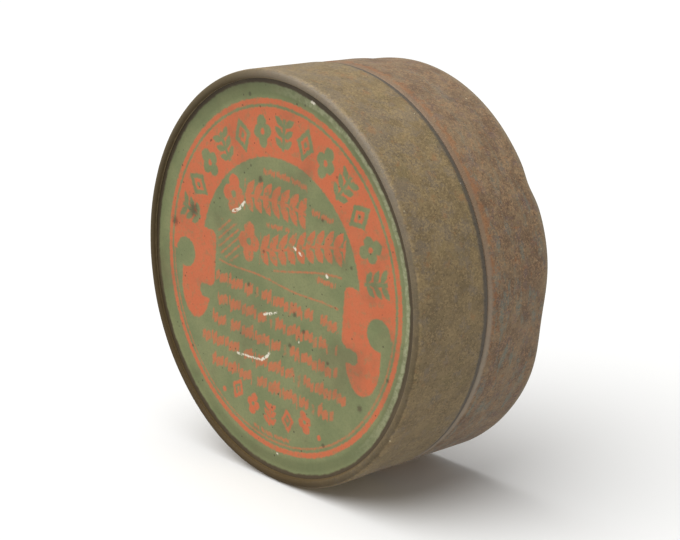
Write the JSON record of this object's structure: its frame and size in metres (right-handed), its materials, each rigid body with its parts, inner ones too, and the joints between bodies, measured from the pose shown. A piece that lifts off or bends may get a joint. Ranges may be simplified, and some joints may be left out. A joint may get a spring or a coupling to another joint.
{
  "type": "round slip-lid polish tin",
  "caption": "Round flat tinplate polish tin with a deep slip lid, a printed panel recessed in a rolled rim, an inner collar, and a cake of wax paste.",
  "frame": {"origin": "centre of the tin's base, in the plane that its rolled bottom rim stands on", "axes": "+Z along the tin's axis, up from the base to the lid, which is how the lid lifts; +Y is the top of the lid's print, and the side seams are towards -X"},
  "size_m": [0.084, 0.084, 0.0357],
  "materials": {
    "lid_tinplate": "dull brown lacquered and rusted tinplate",
    "printed_panel": "worn satin green and orange-red print on tinplate",
    "body_tinplate": "dull reddish brown rusted tinplate",
    "collar_tinplate": "dull tarnished bare tinplate",
    "solder": "dull tarnished solder",
    "wax_paste": "black wax paste, smooth and slightly glossy"
  },
  "bodies": {
    "tin_body": {"body_wall": "body_tinplate", "neck_collar": "collar_tinplate", "base_plate": "body_tinplate", "body_seam_solder": "solder", "polish_cake": "wax_paste"},
    "lid": {"lid_skirt": "lid_tinplate", "lid_panel": "printed_panel", "lid_seam_solder": "solder"}
  },
  "joints": [
    {"name": "lid_lift", "type": "slide", "parent": "tin_body", "child": "lid", "axis": [0, 0, 1], "range_m": [0, 0.03]}
  ]
}
